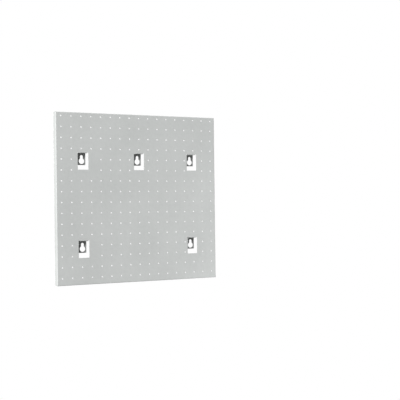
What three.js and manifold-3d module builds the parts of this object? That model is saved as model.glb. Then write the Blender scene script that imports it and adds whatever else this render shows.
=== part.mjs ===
// Pegboard tool wall: a light grey sheet-steel tray with a grid of peg holes, which hangs on wall screws
// by five keyhole hangers. Tray and hangers are one folded sheet. Each hanger is a tongue cut free
// inside its window in the face and bent back, then down, so that its keyhole plate lies on the wall.
// The sheet is divided at its folds: the flat face, four returns and five hangers.
//
// Frame: millimetres, +X to the right and +Z up as seen from the front, +Y towards the wall.
// The origin is the centre of the wall plane, so the tray fills Y from -DEPTH to 0.

import * as THREE from "three";
import { mergeGeometries, mergeVertices } from "three/addons/utils/BufferGeometryUtils.js";
import Module from "manifold-3d";

const wasm = await Module();
wasm.setup();

// Sheet and tray
const SHEET = 1;
const BEND_R = 0.4; // inside radius of every fold, more than NODE_GAP
const DEPTH = 13.5; // front face to wall plane
const CORNER_SEAM = 0.4; // open seam where two returns meet
const NODE_GAP = 0.3; // between the face and each piece folded from it
const BEND_SEGMENTS = 5;

// Peg grid
const PITCH = 25;
const COLUMNS = 17;
const ROWS = 16;
const HOLE_D = 3.2;
const HOLE_SIDES = 8;
const SIDE_MARGIN = 12.5; // outer edge to the first column of holes
const TOP_MARGIN = 8.5; // top edge to the first row of holes
const BOTTOM_MARGIN = 16.5; // last row of holes to the bottom edge

// Windows in the face, one in front of each hanger
const WINDOW_W = 26.7;
const WINDOW_H = 40;
const WINDOW_ACROSS = 145.6; // centre window to a side window
const WINDOW_TOP_Z = 87.5;
const WINDOW_BOTTOM_Z = -117.5;

// Hangers, with Z measured from the centre of their window
const HANGER_W = 19.7;
const HANGER_OFFSET_X = 1.5; // hanger centre, to the right of its window's centre
const HANGER_BOTTOM = -8.9; // lower edge of the keyhole plate
const PLATE_CORNER_R = 1.5;
const PLATE_CORNER_SEGMENTS = 4;
const KEYHOLE_R = 6.9;
const KEYHOLE_Z = 0.3; // centre of the round end
const NECK_HALF_W = 3.7;
const NECK_TOP = 14.4;
const KEYHOLE_SEGMENTS = 12;

const WIDTH = (COLUMNS - 1) * PITCH + 2 * SIDE_MARGIN;
const HEIGHT = (ROWS - 1) * PITCH + TOP_MARGIN + BOTTOM_MARGIN;
const OUTER_R = BEND_R + SHEET;
const FACE_W = WIDTH - 2 * OUTER_R; // flat part of the face, between the folds
const FACE_H = HEIGHT - 2 * OUTER_R;
const FIRST_COLUMN_X = -WIDTH / 2 + SIDE_MARGIN;
const FIRST_ROW_Z = HEIGHT / 2 - TOP_MARGIN;
const PAST = 2; // how far a cutter runs past what it cuts

const WINDOWS = [
  { name: "top_left", x: -WINDOW_ACROSS, z: WINDOW_TOP_Z },
  { name: "top_centre", x: 0, z: WINDOW_TOP_Z },
  { name: "top_right", x: WINDOW_ACROSS, z: WINDOW_TOP_Z },
  { name: "bottom_left", x: -WINDOW_ACROSS, z: WINDOW_BOTTOM_Z },
  { name: "bottom_right", x: WINDOW_ACROSS, z: WINDOW_BOTTOM_Z },
];

const paint = new THREE.MeshStandardMaterial({ color: 0xc0c2c1, roughness: 0.55, metalness: 0 });

// A closed three.js geometry as a solid, and a solid as a geometry.
function solid(geometry) {
  const bare = geometry.clone();
  bare.deleteAttribute("normal");
  bare.deleteAttribute("uv");
  const merged = mergeVertices(bare, 1e-4);
  const vertProperties = merged.attributes.position.array;
  const triVerts = new Uint32Array(merged.index.array);
  return new wasm.Manifold(new wasm.Mesh({ numProp: 3, vertProperties, triVerts }));
}

function geometryOf(made) {
  const { vertProperties, triVerts } = made.getMesh();
  const geometry = new THREE.BufferGeometry();
  geometry.setAttribute("position", new THREE.BufferAttribute(vertProperties, 3));
  geometry.setIndex(new THREE.BufferAttribute(triVerts, 1));
  geometry.computeVertexNormals();
  return geometry;
}

function named(name, geometry) {
  const mesh = new THREE.Mesh(geometry, paint);
  mesh.name = name;
  return mesh;
}

// A hole is left out where a window takes its place, and to the right of the two left windows.
function holeIsPunched(x, z) {
  return !WINDOWS.some((w) => {
    const right = w.x < 0 ? WINDOW_W / 2 + PITCH / 2 : WINDOW_W / 2;
    const across = x - w.x;
    return across > -WINDOW_W / 2 && across < right && Math.abs(z - w.z) < WINDOW_H / 2 + HOLE_D / 2;
  });
}

function pegHoleCutters() {
  const cutters = [];
  for (let row = 0; row < ROWS; row++) {
    for (let column = 0; column < COLUMNS; column++) {
      const x = FIRST_COLUMN_X + column * PITCH;
      const z = FIRST_ROW_Z - row * PITCH;
      if (!holeIsPunched(x, z)) continue;
      const cutter = new THREE.CylinderGeometry(HOLE_D / 2, HOLE_D / 2, SHEET + 2 * PAST, HOLE_SIDES);
      cutter.rotateY(Math.PI / HOLE_SIDES);
      cutters.push(cutter.translate(x, -DEPTH + SHEET / 2, z));
    }
  }
  return cutters;
}

function windowCutters() {
  return WINDOWS.map((w) => {
    const cutter = new THREE.BoxGeometry(WINDOW_W, SHEET + 2 * PAST, WINDOW_H);
    return cutter.translate(w.x, -DEPTH + SHEET / 2, w.z);
  });
}

function faceSheet() {
  const blank = new THREE.BoxGeometry(FACE_W, SHEET, FACE_H).translate(0, -DEPTH + SHEET / 2, 0);
  const cutters = mergeGeometries([...pegHoleCutters(), ...windowCutters()]);
  return named("face_sheet", geometryOf(solid(blank).subtract(solid(cutters))));
}

// One return: a fold and a flange, run along local Z, with local X pointing out of the tray.
// Its ends are cut at 45 degrees, so that two returns meet at a corner seam.
function trayReturn(name, foldLength) {
  const profile = new THREE.Shape();
  const foldY = -DEPTH + OUTER_R;
  const outerStart = Math.asin(NODE_GAP / OUTER_R) - Math.PI / 2;
  const innerEnd = -Math.acos(NODE_GAP / BEND_R);
  profile.absarc(0, foldY, OUTER_R, outerStart, 0, false);
  profile.lineTo(OUTER_R, 0);
  profile.lineTo(BEND_R, 0);
  profile.lineTo(BEND_R, foldY);
  profile.absarc(0, foldY, BEND_R, 0, innerEnd, true);
  profile.closePath();
  const geometry = new THREE.ExtrudeGeometry(profile, {
    depth: foldLength,
    bevelEnabled: false,
    curveSegments: BEND_SEGMENTS,
  });
  const points = geometry.attributes.position;
  for (let i = 0; i < points.count; i++) {
    const along = points.getZ(i) - foldLength / 2;
    points.setZ(i, along + Math.sign(along) * (points.getX(i) - CORNER_SEAM / 2));
  }
  return named(name, geometry);
}

function trayReturns() {
  const right = trayReturn("right_return", FACE_H);
  right.position.x = FACE_W / 2;
  const left = trayReturn("left_return", FACE_H);
  left.position.x = -FACE_W / 2;
  left.rotation.y = Math.PI;
  const top = trayReturn("top_return", FACE_W);
  top.position.z = FACE_H / 2;
  top.rotation.y = -Math.PI / 2;
  const bottom = trayReturn("bottom_return", FACE_W);
  bottom.position.z = -FACE_H / 2;
  bottom.rotation.y = Math.PI / 2;
  return [left, right, top, bottom];
}

// The hanger's side profile, with Y across and Z up: root fold, ledge, wall fold and keyhole plate.
function hangerProfile() {
  const root = WINDOW_H / 2 - NODE_GAP;
  const rootFoldY = -DEPTH + OUTER_R;
  const ledgeTop = root - BEND_R;
  const ledgeUnder = root - OUTER_R;
  const wallFoldZ = ledgeUnder - BEND_R;
  const profile = new THREE.Shape();
  profile.moveTo(-DEPTH, root);
  profile.absarc(rootFoldY, root, OUTER_R, Math.PI, 1.5 * Math.PI, false);
  profile.lineTo(-OUTER_R, ledgeUnder);
  profile.absarc(-OUTER_R, wallFoldZ, BEND_R, Math.PI / 2, 0, true);
  profile.lineTo(-SHEET, HANGER_BOTTOM);
  profile.lineTo(0, HANGER_BOTTOM);
  profile.lineTo(0, wallFoldZ);
  profile.absarc(-OUTER_R, wallFoldZ, OUTER_R, 0, Math.PI / 2, false);
  profile.lineTo(rootFoldY, ledgeTop);
  profile.absarc(rootFoldY, root, BEND_R, 1.5 * Math.PI, Math.PI, true);
  profile.closePath();
  return profile;
}

// An outline with X across and Z up, run along Y through the whole hanger.
function throughHanger(outline, curveSegments) {
  const depth = DEPTH + 2 * PAST;
  const geometry = new THREE.ExtrudeGeometry(outline, { depth, bevelEnabled: false, curveSegments });
  return geometry.rotateX(Math.PI / 2).translate(0, PAST, 0);
}

function keyholeOutline() {
  const shoulder = Math.asin(NECK_HALF_W / KEYHOLE_R);
  const outline = new THREE.Shape();
  outline.moveTo(NECK_HALF_W, NECK_TOP - NECK_HALF_W);
  outline.absarc(0, NECK_TOP - NECK_HALF_W, NECK_HALF_W, 0, Math.PI, false);
  outline.absarc(0, KEYHOLE_Z, KEYHOLE_R, Math.PI / 2 + shoulder, 2.5 * Math.PI - shoulder, false);
  outline.closePath();
  return outline;
}

function hangerOutline() {
  const half = HANGER_W / 2;
  const r = PLATE_CORNER_R;
  const outline = new THREE.Shape();
  outline.moveTo(half, WINDOW_H / 2 + PAST);
  outline.lineTo(-half, WINDOW_H / 2 + PAST);
  outline.lineTo(-half, HANGER_BOTTOM + r);
  outline.absarc(-half + r, HANGER_BOTTOM + r, r, Math.PI, 1.5 * Math.PI, false);
  outline.absarc(half - r, HANGER_BOTTOM + r, r, 1.5 * Math.PI, 2 * Math.PI, false);
  outline.closePath();
  return outline;
}

function hangerGeometry() {
  const strip = new THREE.ExtrudeGeometry(hangerProfile(), {
    depth: HANGER_W,
    bevelEnabled: false,
    curveSegments: BEND_SEGMENTS,
  });
  const turn = new THREE.Matrix4().makeBasis(
    new THREE.Vector3(0, 1, 0),
    new THREE.Vector3(0, 0, 1),
    new THREE.Vector3(1, 0, 0),
  );
  strip.applyMatrix4(turn).translate(-HANGER_W / 2, 0, 0);
  const outer = solid(throughHanger(hangerOutline(), PLATE_CORNER_SEGMENTS));
  const keyhole = solid(throughHanger(keyholeOutline(), KEYHOLE_SEGMENTS));
  return geometryOf(solid(strip).intersect(outer).subtract(keyhole));
}

function hangers() {
  const geometry = hangerGeometry();
  return WINDOWS.map((w) => {
    const hanger = named(`hanger_${w.name}`, geometry);
    hanger.position.set(w.x + HANGER_OFFSET_X, 0, w.z);
    return hanger;
  });
}

const pegboard = new THREE.Group();
pegboard.add(faceSheet(), ...trayReturns(), ...hangers());

export default pegboard;
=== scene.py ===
# Pegboard tool wall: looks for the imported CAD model, in its own frame (metres, +Z up, +Y into the wall).
# The pieces are parts of one painted steel sheet, rebuilt with rounded cut edges and round holes.
from math import asin, cos, pi, radians, sin

import bpy
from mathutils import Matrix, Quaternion, Vector
from mathutils.geometry import delaunay_2d_cdt


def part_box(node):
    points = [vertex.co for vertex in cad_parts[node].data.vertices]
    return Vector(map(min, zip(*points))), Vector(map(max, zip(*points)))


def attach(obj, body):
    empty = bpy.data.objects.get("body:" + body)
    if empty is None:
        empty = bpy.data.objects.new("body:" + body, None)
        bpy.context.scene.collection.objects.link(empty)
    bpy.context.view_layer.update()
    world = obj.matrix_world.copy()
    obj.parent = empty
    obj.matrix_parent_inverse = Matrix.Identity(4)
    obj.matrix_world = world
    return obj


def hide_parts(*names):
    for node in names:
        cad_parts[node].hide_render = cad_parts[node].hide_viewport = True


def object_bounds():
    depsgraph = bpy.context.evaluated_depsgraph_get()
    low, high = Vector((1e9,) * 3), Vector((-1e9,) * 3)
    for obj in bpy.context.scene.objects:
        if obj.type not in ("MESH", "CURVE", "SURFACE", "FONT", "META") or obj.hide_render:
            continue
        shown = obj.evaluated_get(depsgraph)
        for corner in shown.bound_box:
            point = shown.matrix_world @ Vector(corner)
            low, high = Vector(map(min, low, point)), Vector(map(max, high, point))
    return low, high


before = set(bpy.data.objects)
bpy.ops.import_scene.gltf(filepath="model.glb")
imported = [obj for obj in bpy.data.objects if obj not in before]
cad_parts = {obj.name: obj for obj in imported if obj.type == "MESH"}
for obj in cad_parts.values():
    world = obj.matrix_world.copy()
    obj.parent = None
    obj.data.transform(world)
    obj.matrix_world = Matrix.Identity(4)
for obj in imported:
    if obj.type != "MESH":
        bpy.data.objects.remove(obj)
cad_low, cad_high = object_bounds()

MM = 0.001

# The sheet and the tray
SHEET = 1.0 * MM
BEND_R = 0.4 * MM  # inside radius of every fold
OUTER_R = BEND_R + SHEET
BEND_STEPS = 12
CORNER_SEAM = 0.4 * MM  # open seam where two returns meet
EDGE_R = 0.22 * MM  # the paint rounds every cut edge
EDGE_STEPS = 3
NODE_GAP = 0.3 * MM  # the CAD model's cut between the face and a hanger
SHARP_ANGLE = radians(50)
SAME_POINT = 1e-8  # points of a flat side that lie closer than this are one

# Peg grid
PITCH = 25 * MM
COLUMNS = 17
ROWS = 16
HOLE_R = 1.6 * MM
HOLE_STEPS = 24
SIDE_MARGIN = 12.5 * MM  # outer edge to the first column of holes
TOP_MARGIN = 8.5 * MM  # top edge to the first row of holes

# Windows and hangers
WINDOW_W = 26.7 * MM
WINDOW_H = 40 * MM
WINDOW_CORNER_R = 0.7 * MM
HANGER_OFFSET_X = 1.5 * MM  # to the right of the window's centre
PLATE_CORNER_R = 1.5 * MM
CORNER_STEPS = 6
KEYHOLE_R = 6.9 * MM
KEYHOLE_RISE = 0.3 * MM  # centre of the round end, above the window's centre
KEYHOLE_STEPS = 40
NECK_HALF_W = 3.7 * MM
NECK_TOP = 14.4 * MM  # above the window's centre
NECK_STEPS = 16
HANGERS = ["top_left", "top_centre", "top_right", "bottom_left", "bottom_right"]

FRONT = cad_low.y
WALL = cad_high.y
FACE_HALF_W = (cad_high.x - cad_low.x) / 2 - OUTER_R
FACE_HALF_H = (cad_high.z - cad_low.z) / 2 - OUTER_R

# Mesh points between the holes keep this far from a window's rounded edge
CLEARANCE = 1 * MM

# Camera
CAMERA_PLACE = (-1.0458, -2.0617, -0.0174)
CAMERA_TURN = radians(30.672)  # from looking straight at the face, towards +X
CAMERA_RISE = radians(0.281)
CAMERA_ROLL = radians(-0.704)
CAMERA_LENS = 86.04
CAMERA_SENSOR = 36


def make_camera():
    data = bpy.data.cameras.new("camera")
    data.lens = CAMERA_LENS
    data.sensor_width = CAMERA_SENSOR
    camera = bpy.data.objects.new("camera", data)
    bpy.context.scene.collection.objects.link(camera)
    camera.location = CAMERA_PLACE
    level = cos(CAMERA_RISE)
    aim = Vector((sin(CAMERA_TURN) * level, cos(CAMERA_TURN) * level, sin(CAMERA_RISE)))
    camera.rotation_mode = "QUATERNION"
    camera.rotation_quaternion = aim.to_track_quat("-Z", "Y") @ Quaternion((0, 0, 1), CAMERA_ROLL)
    bpy.context.scene.camera = camera


# ---- Outlines, as lists of (x, z) seen from the front. Metal lies on their left, so the outline of a
# ---- plate turns anticlockwise and the outline of a hole turns clockwise.

def arc(x, z, radius, start, end, steps):
    angles = [start + (end - start) * i / steps for i in range(steps + 1)]
    return [(x + radius * cos(a), z + radius * sin(a)) for a in angles]


def keyhole_outline(x, z):
    """The keyhole of a hanger with its middle at x, in the window with its centre at z."""
    shoulder = asin(NECK_HALF_W / KEYHOLE_R)
    neck = arc(x, z + NECK_TOP - NECK_HALF_W, NECK_HALF_W, pi, 0, NECK_STEPS)
    return neck + arc(x, z + KEYHOLE_RISE, KEYHOLE_R, pi / 2 - shoulder, shoulder - 1.5 * pi, KEYHOLE_STEPS)


def window_outline(x, z):
    """The outline up to the left end of its top side, and the outline from the right end on."""
    left, right = x - WINDOW_W / 2, x + WINDOW_W / 2
    low, high = z - WINDOW_H / 2, z + WINDOW_H / 2
    r = WINDOW_CORNER_R
    top_left = arc(left + r, high - r, r, pi, pi / 2, CORNER_STEPS)
    top_right = arc(right - r, high - r, r, pi / 2, 0, CORNER_STEPS)
    low_right = arc(right - r, low + r, r, 0, -pi / 2, CORNER_STEPS)
    low_left = arc(left + r, low + r, r, -pi / 2, -pi, CORNER_STEPS)
    return top_left, top_right + low_right + low_left


def inset(loop, distance):
    """The loop moved into the metal by distance."""
    moved = []
    for i, point in enumerate(loop):
        here, before, after = Vector(point), Vector(loop[i - 1]), Vector(loop[(i + 1) % len(loop)])
        left_in = (here - before).normalized().orthogonal()
        left_out = (after - here).normalized().orthogonal()
        middle = (left_in + left_out).normalized()
        moved.append(tuple(here + middle * (distance / middle.dot(left_in))))
    return moved


def edge_profile():
    """(distance from the cut edge, depth below the front) across a rounded cut edge, front to back."""
    angles = [pi / 2 * i / EDGE_STEPS for i in range(EDGE_STEPS + 1)]
    front = [(EDGE_R * (1 - sin(a)), EDGE_R * (1 - cos(a))) for a in angles]
    return front + [(across, SHEET - depth) for across, depth in reversed(front)]


# ---- Meshes

class Builder:
    """Collects the vertices and faces of one closed piece."""

    def __init__(self):
        self.verts = []
        self.faces = []

    def add(self, points):
        first = len(self.verts)
        self.verts += [tuple(p) for p in points]
        return list(range(first, len(self.verts)))

    def strip(self, row_a, row_b, skip=None):
        """Quads between two closed rows of vertices, apart from the one after the vertex at skip."""
        for i in range(len(row_a)):
            j = (i + 1) % len(row_a)
            if i != skip:
                self.faces.append((row_a[i], row_b[i], row_b[j], row_a[j]))

    def rounded_edge(self, loop, front_y, folds=(), skip=None):
        """A cut edge round a loop. folds says which points stand at the two ends of a fold line, as
        {index: the way into the metal along x}: there the edge turns off to run down the next fold."""
        rows = []
        for across, depth in edge_profile():
            ring = inset(loop, across)
            for i in folds:
                ring[i] = (loop[i][0] + folds[i] * across, loop[i][1])
            rows.append(self.add((x, front_y + depth, z) for x, z in ring))
        for row_a, row_b in zip(rows, rows[1:]):
            self.strip(row_a, row_b, skip)
        return rows

    def square_edge(self, loop, front_y):
        rows = [self.add((x, front_y + depth, z) for x, z in loop) for depth in (0, SHEET)]
        self.strip(*rows)
        return rows

    def flat_side(self, loops, extra, facing_wall):
        """Triangles over the metal between loops of vertices, and through some extra points."""
        y = self.verts[loops[0][0]][1]
        index = [v for loop in loops for v in loop] + self.add((x, y, z) for x, z in extra)
        flat = [Vector((self.verts[v][0], self.verts[v][2])) for v in index]
        edges, owner = [], []
        for loop in loops:
            start = len(owner)
            edges += [(start + i, start + (i + 1) % len(loop)) for i in range(len(loop))]
            owner += [start] * len(loop)
        owner += range(len(owner), len(flat))
        found, _, triangles, _, _, _ = delaunay_2d_cdt(flat, edges, [], 0, SAME_POINT)
        if len(found) != len(flat):
            raise ValueError("two points of a flat side coincide")
        for a, b, c in triangles:
            one_loop = owner[a] == owner[b] == owner[c]
            runs_back = (a > b) + (b > c) + (c > a) == 2
            if one_loop and runs_back:
                continue  # off the metal
            face = (index[a], index[b], index[c])
            self.faces.append(face[::-1] if facing_wall else face)

    def both_sides(self, edges, extra):
        """The front and the back of a flat sheet, between the rows of its edges."""
        self.flat_side([rows[0] for rows in edges], extra, facing_wall=False)
        self.flat_side([rows[-1] for rows in edges], extra, facing_wall=True)

    def mesh(self, name):
        data = bpy.data.meshes.new(name)
        data.from_pydata(self.verts, [], self.faces)
        return data


def make_piece(builder, node, paint):
    """The piece that stands for one CAD node."""
    name = "painted_" + node
    piece = bpy.data.objects.new(name, builder.mesh(name))
    bpy.context.scene.collection.objects.link(piece)
    piece.data.materials.append(paint)
    piece.data.shade_smooth()
    piece.data.set_sharp_from_angle(angle=SHARP_ANGLE)
    weigh = piece.modifiers.new("flat sides stay flat", "WEIGHTED_NORMAL")
    weigh.keep_sharp = True
    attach(piece, "root")
    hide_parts(node)
    return piece


# ---- Pieces

def windows():
    """For each hanger: its window's centre, and its own two sides."""
    for name in HANGERS:
        low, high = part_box("hanger_" + name)
        x = (low.x + high.x) / 2 - HANGER_OFFSET_X
        z = high.z + NODE_GAP - WINDOW_H / 2
        yield name, x, z, low.x, high.x


def near_window(x, z, margin):
    """Whether a point lies within margin of a window, or in the column of holes that is also left out
    to the right of the two left windows."""
    for _, window_x, window_z, _, _ in windows_found:
        right = WINDOW_W / 2 + (PITCH / 2 if window_x < -PITCH else 0)
        across = x - window_x
        if -WINDOW_W / 2 - margin < across < right + margin and abs(z - window_z) < WINDOW_H / 2 + margin:
            return True
    return False


def grid_points(columns, rows, offset):
    """Points of the peg grid, moved by offset pitches to the right and down."""
    for row in range(rows):
        for column in range(columns):
            x = cad_low.x + SIDE_MARGIN + (column + offset) * PITCH
            z = cad_high.z - TOP_MARGIN - (row + offset) * PITCH
            yield x, z


def face_sheet(paint):
    face = Builder()
    w, h = FACE_HALF_W, FACE_HALF_H
    edges = [face.square_edge([(-w, -h), (w, -h), (w, h), (-w, h)], FRONT)]
    for x, z in grid_points(COLUMNS, ROWS, 0):
        if not near_window(x, z, HOLE_R):
            edges.append(face.rounded_edge(arc(x, z, HOLE_R, 2 * pi, 0, HOLE_STEPS)[:-1], FRONT))
    for _, x, z, left, right in windows_found:
        before, after = window_outline(x, z)
        root = [(at, z + WINDOW_H / 2) for at in (left - EDGE_R, left, right, right + EDGE_R)]
        folds = {len(before) + 1: 1, len(before) + 2: -1}  # at the hanger's two sides
        edges.append(face.rounded_edge(before + root + after, FRONT, folds))
    between = [p for p in grid_points(COLUMNS - 1, ROWS - 1, 0.5) if not near_window(*p, EDGE_R + CLEARANCE)]
    face.both_sides(edges, between)
    make_piece(face, "face_sheet", paint)


def tray_return(paint, node, out, half_face, half_length):
    """A fold and a flange along one side of the face. out is the way out of the tray."""
    fold_y = FRONT + OUTER_R
    profile = arc(0, fold_y, OUTER_R, -pi / 2, 0, BEND_STEPS)
    profile += arc(OUTER_R - EDGE_R, WALL - EDGE_R, EDGE_R, 0, pi / 2, EDGE_STEPS)
    profile += arc(BEND_R + EDGE_R, WALL - EDGE_R, EDGE_R, pi / 2, pi, EDGE_STEPS)
    profile += arc(0, fold_y, BEND_R, 0, -pi / 2, BEND_STEPS)
    along = Vector((0, 1, 0)).cross(out)
    piece = Builder()
    rows = []
    steps = round(2 * half_length / PITCH)
    for step in range(steps + 1):
        share = 2 * step / steps - 1  # from -1 at one corner to 1 at the other
        points = []
        for across, y in profile:
            corner = half_length + across - CORNER_SEAM / 2
            points.append(out * (half_face + across) + Vector((0, y, 0)) + along * share * corner)
        rows.append(piece.add(points))
    for row_a, row_b in zip(rows, rows[1:]):
        piece.strip(row_a, row_b)
    piece.faces.append(tuple(rows[0]))
    piece.faces.append(tuple(reversed(rows[-1])))
    make_piece(piece, node, paint)


def hanger(paint, name, z, left, right):
    """The tongue from its root at the window's top side: fold, ledge, fold, and keyhole plate."""
    piece = Builder()
    root_z = z + WINDOW_H / 2
    root_fold = (FRONT + OUTER_R, root_z)
    wall_fold = (WALL - OUTER_R, root_z - OUTER_R - BEND_R)
    plate_top = wall_fold[1]
    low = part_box("hanger_" + name)[0].z
    r = PLATE_CORNER_R
    outline = [(right, plate_top), (left, plate_top)]
    outline += arc(left + r, low + r, r, pi, 1.5 * pi, CORNER_STEPS)
    outline += arc(right - r, low + r, r, -pi / 2, 0, CORNER_STEPS)
    plate_y = WALL - SHEET
    plate = piece.rounded_edge(outline, plate_y, folds={0: -1, 1: 1}, skip=0)
    hole = piece.rounded_edge(keyhole_outline((left + right) / 2, z), plate_y)
    piece.both_sides([plate, hole], [])

    def across_fold(centre, angle, radius, outwards):
        """A row round the sheet's section, at an angle of a fold."""
        places = []
        for inner, depth in edge_profile():
            reach = radius + (depth if outwards else -depth)
            places.append((inner, centre[0] + reach * cos(angle), centre[1] + reach * sin(angle)))
        points = [(right - inner, y, z) for inner, y, z in places]
        return points + [(left + inner, y, z) for inner, y, z in reversed(places)]

    turns = [pi / 2 * i / BEND_STEPS for i in range(BEND_STEPS + 1)]
    rows = [piece.add(across_fold(root_fold, pi + turn, OUTER_R, False)) for turn in turns]
    rows += [piece.add(across_fold(wall_fold, pi / 2 - turn, BEND_R, True)) for turn in turns[:-1]]
    rows.append([row[0] for row in plate] + [row[1] for row in reversed(plate)])
    for row_a, row_b in zip(rows, rows[1:]):
        piece.strip(row_a, row_b)
    piece.faces.append(tuple(rows[0]))
    make_piece(piece, "hanger_" + name, paint)


# ---- Powder coat

TINT_DARK = (0.530, 0.546, 0.537, 1)
TINT_LIGHT = (0.594, 0.609, 0.600, 1)
NOISE_LOW, NOISE_HIGH = 0.3, 0.7  # most of a noise lies between these


def powder_coat():
    """Light grey polyester powder: a fine orange peel, faint mottling, and slight changes of gloss."""
    material = bpy.data.materials.new("light_grey_powder_coat")
    material.use_nodes = True
    nodes, links = material.node_tree.nodes, material.node_tree.links
    shader = nodes["Principled BSDF"]
    place = nodes.new("ShaderNodeTexCoord").outputs["Object"]

    def noise(scale, detail):
        node = nodes.new("ShaderNodeTexNoise")
        node.inputs["Scale"].default_value = scale
        node.inputs["Detail"].default_value = detail
        links.new(place, node.inputs["Vector"])
        return node.outputs["Fac"]

    def spread(value, low, high):
        node = nodes.new("ShaderNodeMapRange")
        node.inputs["From Min"].default_value = NOISE_LOW
        node.inputs["From Max"].default_value = NOISE_HIGH
        node.inputs["To Min"].default_value = low
        node.inputs["To Max"].default_value = high
        links.new(value, node.inputs["Value"])
        return node.outputs["Result"]

    def bump(height, depth, strength):
        node = nodes.new("ShaderNodeBump")
        node.inputs["Strength"].default_value = strength
        node.inputs["Distance"].default_value = depth
        links.new(height, node.inputs["Height"])
        return node

    clouds = noise(scale=9, detail=3)
    mottle = noise(scale=140, detail=4)
    blend = nodes.new("ShaderNodeMath")
    links.new(spread(clouds, low=0, high=0.6), blend.inputs[0])
    links.new(spread(mottle, low=0, high=0.4), blend.inputs[1])
    tint = nodes.new("ShaderNodeValToRGB")
    tint.color_ramp.elements[0].color = TINT_DARK
    tint.color_ramp.elements[1].color = TINT_LIGHT
    links.new(blend.outputs["Value"], tint.inputs["Fac"])
    links.new(tint.outputs["Color"], shader.inputs["Base Color"])
    links.new(spread(mottle, low=0.5, high=0.62), shader.inputs["Roughness"])
    peel = bump(noise(scale=560, detail=2), depth=0.16 * MM, strength=0.6)
    grit = bump(noise(scale=2600, detail=1), depth=0.03 * MM, strength=0.35)
    links.new(grit.outputs["Normal"], peel.inputs["Normal"])
    links.new(peel.outputs["Normal"], shader.inputs["Normal"])
    return material


# ---- Studio

FLOOR_Z = -1.1
FLOOR_HALF = 14
FLOOR_COLOUR = (0.1, 0.1, 0.1, 1)  # as it lights the tray
FLOOR_ROUGHNESS = 0.9
WORLD_STRENGTH = 0.02
WHITE = (1, 1, 1, 1)


def white_to_camera(tree, lit, kind):
    """A shader that the camera sees as plain white, and that lights the tray as lit does."""
    mix = tree.nodes.new("ShaderNodeMixShader")
    white = tree.nodes.new(kind)
    white.inputs["Color"].default_value = WHITE
    path = tree.nodes.new("ShaderNodeLightPath")
    tree.links.new(path.outputs["Is Camera Ray"], mix.inputs["Fac"])
    tree.links.new(lit.outputs[0], mix.inputs[1])
    tree.links.new(white.outputs[0], mix.inputs[2])
    return mix.outputs[0]


def make_world():
    world = bpy.data.worlds.new("studio")
    bpy.context.scene.world = world
    world.use_nodes = True
    tree = world.node_tree
    lit = tree.nodes["Background"]
    lit.inputs["Color"].default_value = WHITE
    lit.inputs["Strength"].default_value = WORLD_STRENGTH
    seen = white_to_camera(tree, lit, "ShaderNodeBackground")
    tree.links.new(seen, tree.nodes["World Output"].inputs["Surface"])


def make_floor():
    data = bpy.data.meshes.new("floor")
    a = FLOOR_HALF
    corners = [(-a, -a, FLOOR_Z), (a, -a, FLOOR_Z), (a, a, FLOOR_Z), (-a, a, FLOOR_Z)]
    data.from_pydata(corners, [], [(0, 1, 2, 3)])
    floor = bpy.data.objects.new("floor", data)
    bpy.context.scene.collection.objects.link(floor)
    material = bpy.data.materials.new("pale_floor")
    material.use_nodes = True
    tree = material.node_tree
    lit = tree.nodes["Principled BSDF"]
    lit.inputs["Base Color"].default_value = FLOOR_COLOUR
    lit.inputs["Roughness"].default_value = FLOOR_ROUGHNESS
    seen = white_to_camera(tree, lit, "ShaderNodeEmission")
    tree.links.new(seen, tree.nodes["Material Output"].inputs["Surface"])
    data.materials.append(material)


def area_light(name, turn, rise, distance, size, power):
    """A square soft light that faces the tray. turn and rise are in degrees, and turn is from straight
    in front of the face to +X."""
    turn, rise = radians(turn), radians(rise)
    towards = Vector((sin(turn) * cos(rise), -cos(turn) * cos(rise), sin(rise)))
    data = bpy.data.lights.new(name, "AREA")
    data.shape = "SQUARE"
    data.size = size
    data.energy = power
    light = bpy.data.objects.new(name, data)
    bpy.context.scene.collection.objects.link(light)
    light.location = towards * distance
    light.rotation_mode = "QUATERNION"
    light.rotation_quaternion = (-towards).to_track_quat("-Z", "Y")
    return light


bpy.context.scene.view_settings.view_transform = "Standard"
make_camera()
make_world()
make_floor()
area_light("key", turn=-63, rise=22, distance=8, size=1.6, power=1070)
low_right = area_light("low_right", turn=66, rise=-27, distance=1.1, size=0.4, power=5.6)
high_right = area_light("high_right", turn=60, rise=60, distance=1.8, size=0.6, power=6.6)
low_right.visible_glossy = high_right.visible_glossy = False  # fills, close by: no hot spots
area_light("back", turn=150, rise=20, distance=4, size=2, power=65)

paint = powder_coat()
windows_found = list(windows())
face_sheet(paint)
tray_return(paint, "right_return", Vector((1, 0, 0)), FACE_HALF_W, FACE_HALF_H)
tray_return(paint, "left_return", Vector((-1, 0, 0)), FACE_HALF_W, FACE_HALF_H)
tray_return(paint, "top_return", Vector((0, 0, 1)), FACE_HALF_H, FACE_HALF_W)
tray_return(paint, "bottom_return", Vector((0, 0, -1)), FACE_HALF_H, FACE_HALF_W)
for name, x, z, left, right in windows_found:
    hanger(paint, name, z, left, right)
